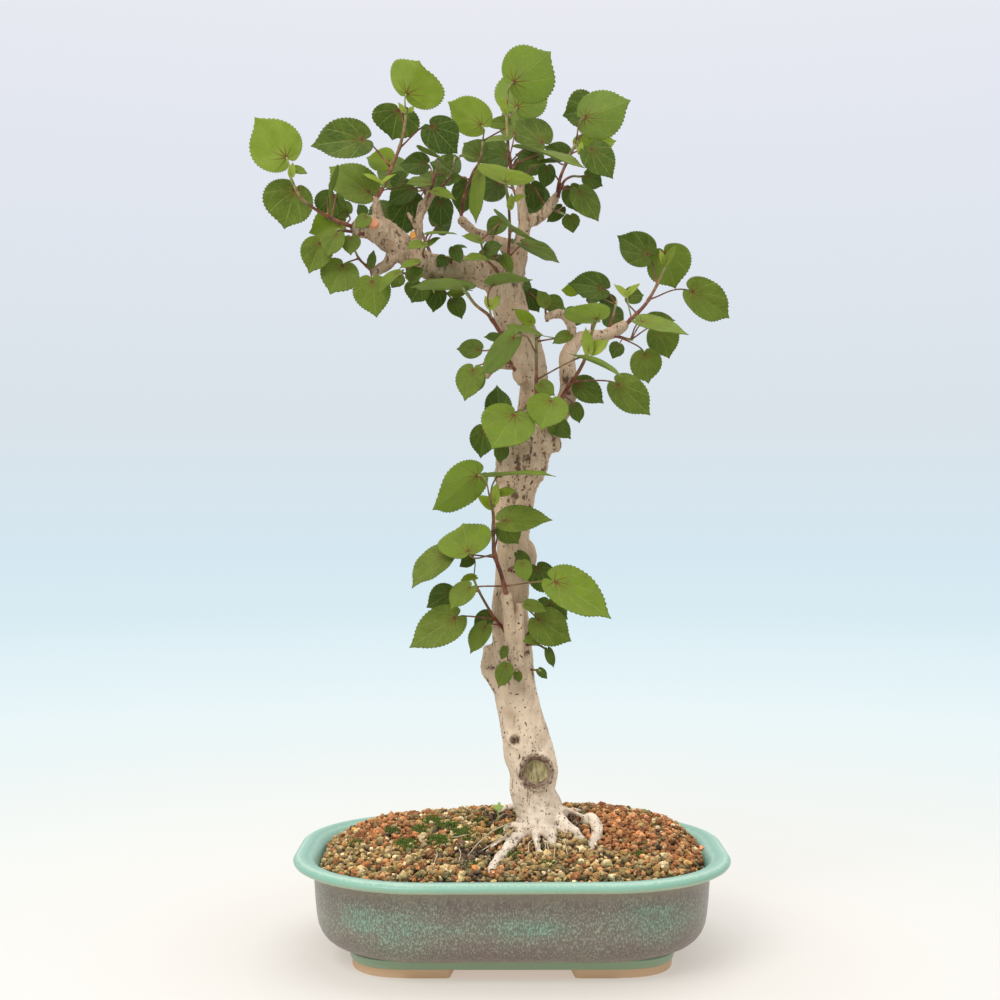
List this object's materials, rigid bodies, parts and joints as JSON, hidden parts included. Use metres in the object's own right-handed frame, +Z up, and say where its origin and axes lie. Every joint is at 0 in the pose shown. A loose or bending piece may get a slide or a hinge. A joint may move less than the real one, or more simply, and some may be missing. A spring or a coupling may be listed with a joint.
{
  "type": "sea hibiscus bonsai",
  "caption": "Tall leafy bonsai tree with a pale trunk and heart-shaped leaves, rooted in granular soil in a shallow glazed bowl on corner feet.",
  "frame": {"origin": "on the ground under the middle of the pot", "axes": "+Z up along the trunk, front of the tree towards -Y, pot's length along X"},
  "size_m": [0.3733, 0.2482, 0.6835],
  "materials": {
    "glaze": "glazed stoneware, speckled grey-brown body with a turquoise rim",
    "soil": "loose fired-clay grains, matt",
    "bark": "pale rough bark",
    "foliage": "soft green leaf, reddish stalks"
  },
  "bodies": {
    "root": {"pot": "glaze", "soil": "soil", "trunk": "bark", "shoot_left_end": "foliage", "shoot_left_end_low": "foliage", "shoot_left_low": "foliage", "shoot_up_left": "foliage", "shoot_mid_left": "foliage", "shoot_mid_left_rear": "foliage", "shoot_centre_left": "foliage", "shoot_centre_top": "foliage", "shoot_front_mid": "foliage", "shoot_front_mid_left": "foliage", "shoot_trunk_front": "foliage", "shoot_limb_under": "foliage", "shoot_limb_front_a": "foliage", "shoot_limb_front_b": "foliage", "shoot_limb_front_c": "foliage", "shoot_limb_end_front": "foliage", "shoot_top_right": "foliage", "shoot_top_right_low": "foliage", "shoot_top_right_under": "foliage", "shoot_right_end": "foliage", "shoot_right_low": "foliage", "shoot_right_mid": "foliage", "shoot_right_stub": "foliage", "shoot_fork_stem": "foliage", "shoot_front_right": "foliage", "shoot_front_left": "foliage", "shoot_trunk_left_low": "foliage", "shoot_trunk_right_low": "foliage", "shoot_lower_front": "foliage", "shoot_lower_left": "foliage", "shoot_lower_mid": "foliage", "shoot_lower_right": "foliage", "shoot_lower_right_sprig": "foliage", "shoot_right_sprig": "foliage", "shoot_front_sprig": "foliage", "shoot_front_sprig_low": "foliage", "shoot_back_top": "foliage", "shoot_back_left": "foliage", "shoot_back_mid": "foliage", "shoot_back_right": "foliage", "shoot_back_low": "foliage"}
  },
  "joints": []
}
